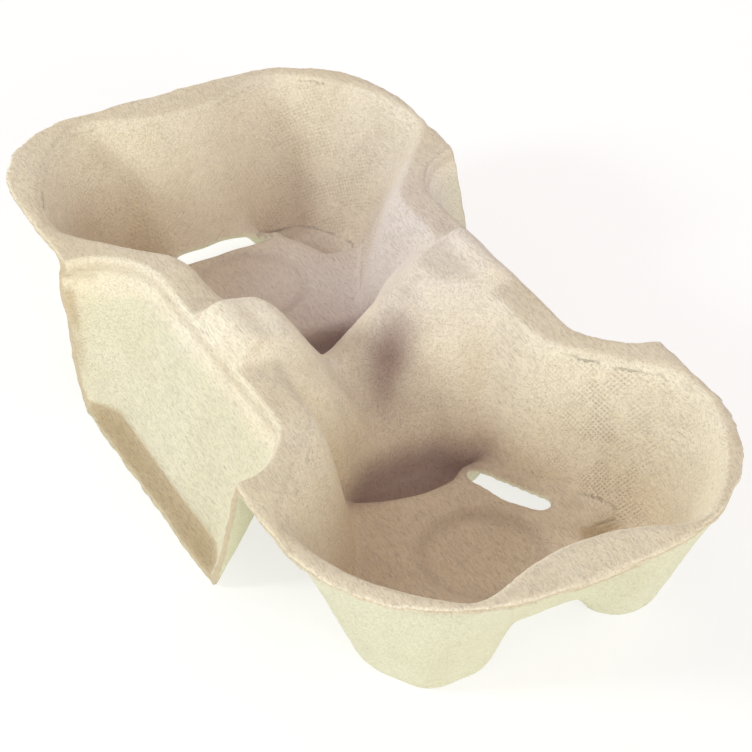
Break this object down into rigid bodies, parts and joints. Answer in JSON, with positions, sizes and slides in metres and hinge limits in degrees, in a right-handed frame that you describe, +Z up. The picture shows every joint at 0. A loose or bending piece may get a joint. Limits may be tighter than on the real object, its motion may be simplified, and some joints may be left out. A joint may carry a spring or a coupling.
{
  "type": "cup carrier",
  "caption": "Moulded pulp tray that carries cups side by side in round-ended wells, with hollow feet, a notched divider and finger recesses in its long sides.",
  "frame": {"origin": "middle of the trimmed outline, on the plane that the feet stand on", "axes": "+X along the length, from one cup well to the other; +Y across, towards one finger recess; +Z up, out of the wells"},
  "size_m": [0.224, 0.1132, 0.0489],
  "materials": {
    "moulded_pulp": "matte moulded paper pulp, fibrous and unbleached"
  },
  "bodies": {
    "root": {"carrier": "moulded_pulp"}
  },
  "joints": []
}
